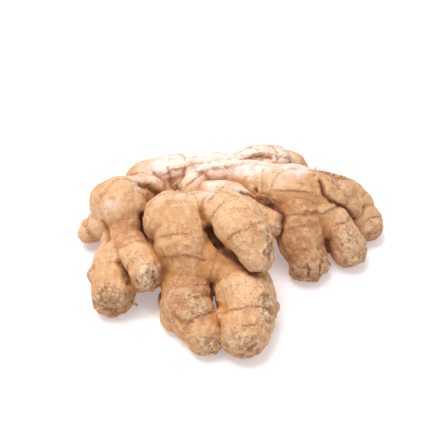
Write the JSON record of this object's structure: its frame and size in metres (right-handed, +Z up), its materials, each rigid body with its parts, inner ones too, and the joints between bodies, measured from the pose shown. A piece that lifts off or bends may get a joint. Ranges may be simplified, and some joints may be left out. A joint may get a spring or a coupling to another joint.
{
  "type": "ginger root",
  "caption": "Fresh ginger rhizome: a knobbly hand of short, blunt, branching fingers in tan papery skin, lying on its fingertips as a loose kitchen vegetable.",
  "frame": {"origin": "middle of the footprint, on the surface the rhizome lies on", "axes": "+Z up; +X along the hand, its longest way, from the left knuckle to the right finger tips; -Y towards the two front fingers"},
  "size_m": [0.1548, 0.1302, 0.052],
  "materials": {
    "skin": null
  },
  "bodies": {
    "root": {"ginger_root": "skin"}
  },
  "joints": []
}
